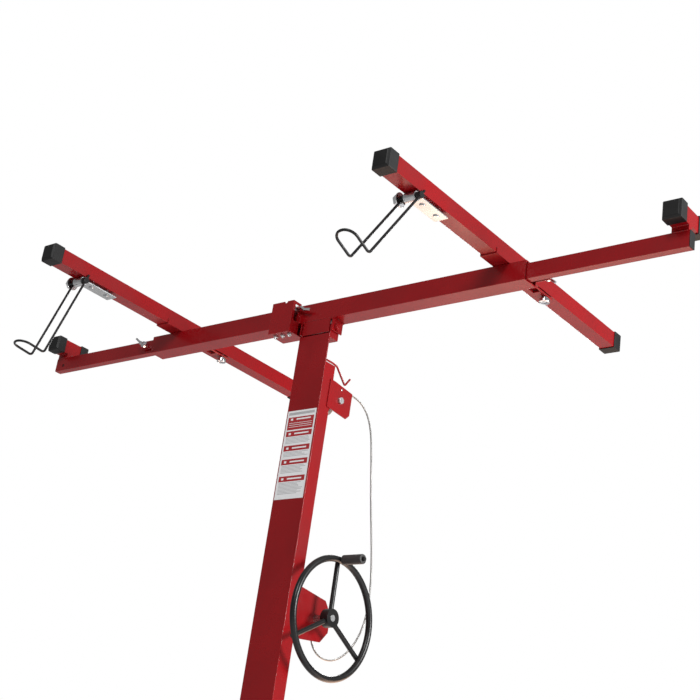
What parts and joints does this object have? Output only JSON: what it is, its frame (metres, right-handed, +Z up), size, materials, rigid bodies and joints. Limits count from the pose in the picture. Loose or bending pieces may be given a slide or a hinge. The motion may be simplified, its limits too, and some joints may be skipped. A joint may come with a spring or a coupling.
{
  "type": "drywall lift",
  "caption": "Drywall panel lift: braked tripod base, telescoping mast with hand winch, tilting cradle with folding cross arms, panel hooks and sliding outriggers.",
  "frame": {"origin": "on the floor below the middle of the standing lift, on the mast's axis", "axes": "+X along the main beam, +Y towards the winch side, +Z up"},
  "size_m": [2.049, 1.1652, 1.6495],
  "materials": {
    "red_paint": "glossy red powder coat over welded steel tube",
    "black_cap": "moulded black rubber, slightly dull",
    "black_wire": "semi-gloss black coated steel",
    "zinc": "bright zinc plating, lightly clouded",
    "chrome": "polished chrome plating",
    "nylon": "natural nylon",
    "label_film": "printed film with plain bars and blocks",
    "grip_plastic": "fine-textured black plastic",
    "steel_cable": "stranded galvanised wire rope",
    "tyre_rubber": "solid rubber tread"
  },
  "bodies": {
    "stand": {"base_hub": "red_paint", "leg_clamp_screws": "zinc", "outer_mast": "red_paint", "outer_guide_collar": "nylon", "mast_label": "label_film", "pulley_bracket": "red_paint", "pulley_bolt": "zinc", "bracket_rivets": "zinc", "retaining_rod": "red_paint", "winch_frame": "red_paint", "lift_cable": "steel_cable"},
    "pulley": {"top_pulley": "nylon"},
    "winch_reel": {"winch_drum": "zinc", "winch_shaft": "zinc", "hand_wheel": "black_wire"},
    "grip": {"wheel_grip": "grip_plastic"},
    "pawl": {"brake_pawl": "zinc"},
    "middle_stage": {"middle_mast": "zinc", "middle_guide_collar": "nylon"},
    "head_stage": {"inner_mast": "zinc", "mast_head": "red_paint"},
    "cradle": {"cradle_saddle": "red_paint", "tilt_bolt": "red_paint", "main_beam": "red_paint", "latch_box": "red_paint", "latch_box_bolts": "zinc", "arm_pivot_bolts": "zinc"},
    "latch": {"tilt_latch": "chrome"},
    "left_outrigger": {"left_outrigger": "red_paint", "left_outrigger_caps": "black_cap"},
    "left_lock_screw": {"left_lock_screw": "chrome"},
    "left_arm": {"left_arm": "red_paint", "left_arm_saddle": "red_paint", "left_arm_caps": "black_cap", "left_hook_leaf": "zinc"},
    "left_lock_pin": {"left_lock_pin": "chrome"},
    "left_hook": {"left_hook_wire": "black_wire", "left_hook_barrel": "black_wire", "left_hook_nut": "chrome"},
    "right_outrigger": {"right_outrigger": "red_paint", "right_outrigger_caps": "black_cap"},
    "right_lock_screw": {"right_lock_screw": "chrome"},
    "right_arm": {"right_arm": "red_paint", "right_arm_saddle": "red_paint", "right_arm_caps": "black_cap", "right_hook_leaf": "zinc"},
    "right_lock_pin": {"right_lock_pin": "chrome"},
    "right_hook": {"right_hook_wire": "black_wire", "right_hook_barrel": "black_wire", "right_hook_nut": "chrome"},
    "rear_leg": {"rear_leg": "red_paint"},
    "rear_castor": {"rear_castor_fork": "zinc"},
    "rear_wheel": {"rear_castor_wheel": "tyre_rubber"},
    "left_leg": {"left_leg": "red_paint"},
    "left_castor": {"left_castor_fork": "zinc"},
    "left_wheel": {"left_castor_wheel": "tyre_rubber"},
    "right_leg": {"right_leg": "red_paint"},
    "right_castor": {"right_castor_fork": "zinc"},
    "right_wheel": {"right_castor_wheel": "tyre_rubber"}
  },
  "joints": [
    {"name": "middle_lift", "type": "slide", "parent": "stand", "child": "middle_stage", "axis": [0, 0, 1], "range_m": [0, 0.9]},
    {"name": "inner_lift", "type": "slide", "parent": "middle_stage", "child": "head_stage", "axis": [0, 0, 1], "range_m": [0, 0.9]},
    {"name": "winch_spin", "type": "hinge", "parent": "stand", "child": "winch_reel", "pos_m": [0, 0.097, 0.812], "axis": [1, 0, 0], "range_deg": [0, 1545]},
    {"name": "pulley_spin", "type": "hinge", "parent": "stand", "child": "pulley", "pos_m": [0, 0.053, 1.35], "axis": [1, 0, 0], "range_deg": [-1800, 0]},
    {"name": "grip_spin", "type": "hinge", "parent": "winch_reel", "child": "grip", "pos_m": [0.13, 0.097, 0.952], "axis": [1, 0, 0], "continuous": true},
    {"name": "pawl_swing", "type": "hinge", "parent": "stand", "child": "pawl", "pos_m": [-0.045, 0.061, 0.85], "axis": [1, 0, 0], "range_deg": [-5, 30]},
    {"name": "cradle_tilt", "type": "hinge", "parent": "head_stage", "child": "cradle", "pos_m": [0, 0, 1.528], "axis": [1, 0, 0], "range_deg": [0, 65]},
    {"name": "latch_pull", "type": "slide", "parent": "cradle", "child": "latch", "axis": [1, 0, 0], "range_m": [-0.01, 0.012]},
    {"name": "left_outrigger_slide", "type": "slide", "parent": "cradle", "child": "left_outrigger", "axis": [-1, 0, 0], "range_m": [-0.34, 0.04]},
    {"name": "left_screw_turn", "type": "hinge", "parent": "cradle", "child": "left_lock_screw", "pos_m": [-0.638, -0.03, 1.576], "axis": [0, 1, 0], "continuous": true},
    {"name": "left_arm_fold", "type": "hinge", "parent": "cradle", "child": "left_arm", "pos_m": [-0.524, 0.005, 1.6], "axis": [0, 0, 1], "range_deg": [0, 48]},
    {"name": "left_pin_pull", "type": "slide", "parent": "cradle", "child": "left_lock_pin", "axis": [0, 0, -1], "range_m": [0, 0.012], "stiffness_N_per_m": 600, "springref_m": -0.006},
    {"name": "left_hook_swing", "type": "hinge", "parent": "left_arm", "child": "left_hook", "pos_m": [-0.524, -0.375, 1.591], "axis": [-1, 0, 0], "range_deg": [-60, 71.4]},
    {"name": "right_outrigger_slide", "type": "slide", "parent": "cradle", "child": "right_outrigger", "axis": [1, 0, 0], "range_m": [-0.34, 0.04]},
    {"name": "right_screw_turn", "type": "hinge", "parent": "cradle", "child": "right_lock_screw", "pos_m": [0.638, 0.03, 1.576], "axis": [0, 1, 0], "continuous": true},
    {"name": "right_arm_fold", "type": "hinge", "parent": "cradle", "child": "right_arm", "pos_m": [0.545, 0.005, 1.6], "axis": [0, 0, -1], "range_deg": [0, 48]},
    {"name": "right_pin_pull", "type": "slide", "parent": "cradle", "child": "right_lock_pin", "axis": [0, 0, -1], "range_m": [0, 0.012], "stiffness_N_per_m": 600, "springref_m": -0.006},
    {"name": "right_hook_swing", "type": "hinge", "parent": "right_arm", "child": "right_hook", "pos_m": [0.545, -0.375, 1.591], "axis": [-1, 0, 0], "range_deg": [-60, 55.3]},
    {"name": "rear_leg_pull", "type": "slide", "parent": "stand", "child": "rear_leg", "axis": [0, 1, 0], "range_m": [0, 0.12]},
    {"name": "rear_castor_swivel", "type": "hinge", "parent": "rear_leg", "child": "rear_castor", "pos_m": [0, 0.53, 0.1], "axis": [0, 0, 1], "continuous": true},
    {"name": "rear_wheel_spin", "type": "hinge", "parent": "rear_castor", "child": "rear_wheel", "pos_m": [0, 0.55, 0.0375], "axis": [1, 0, 0], "continuous": true},
    {"name": "left_leg_pull", "type": "slide", "parent": "stand", "child": "left_leg", "axis": [-0.866, -0.5, 0], "range_m": [0, 0.12]},
    {"name": "left_castor_swivel", "type": "hinge", "parent": "left_leg", "child": "left_castor", "pos_m": [-0.45899, -0.265, 0.1], "axis": [0, 0, 1], "continuous": true},
    {"name": "left_wheel_spin", "type": "hinge", "parent": "left_castor", "child": "left_wheel", "pos_m": [-0.47631, -0.275, 0.0375], "axis": [-0.5, 0.866, 0], "continuous": true},
    {"name": "right_leg_pull", "type": "slide", "parent": "stand", "child": "right_leg", "axis": [0.866, -0.5, 0], "range_m": [0, 0.12]},
    {"name": "right_castor_swivel", "type": "hinge", "parent": "right_leg", "child": "right_castor", "pos_m": [0.45899, -0.265, 0.1], "axis": [0, 0, 1], "continuous": true},
    {"name": "right_wheel_spin", "type": "hinge", "parent": "right_castor", "child": "right_wheel", "pos_m": [0.47631, -0.275, 0.0375], "axis": [-0.5, -0.866, 0], "continuous": true}
  ],
  "couplings": [
    {"joint": "inner_lift", "follows": "middle_lift", "ratio": 1},
    {"joint": "winch_spin", "follows": "middle_lift", "rad_per_m": 29.94},
    {"joint": "pulley_spin", "follows": "middle_lift", "rad_per_m": -34}
  ]
}
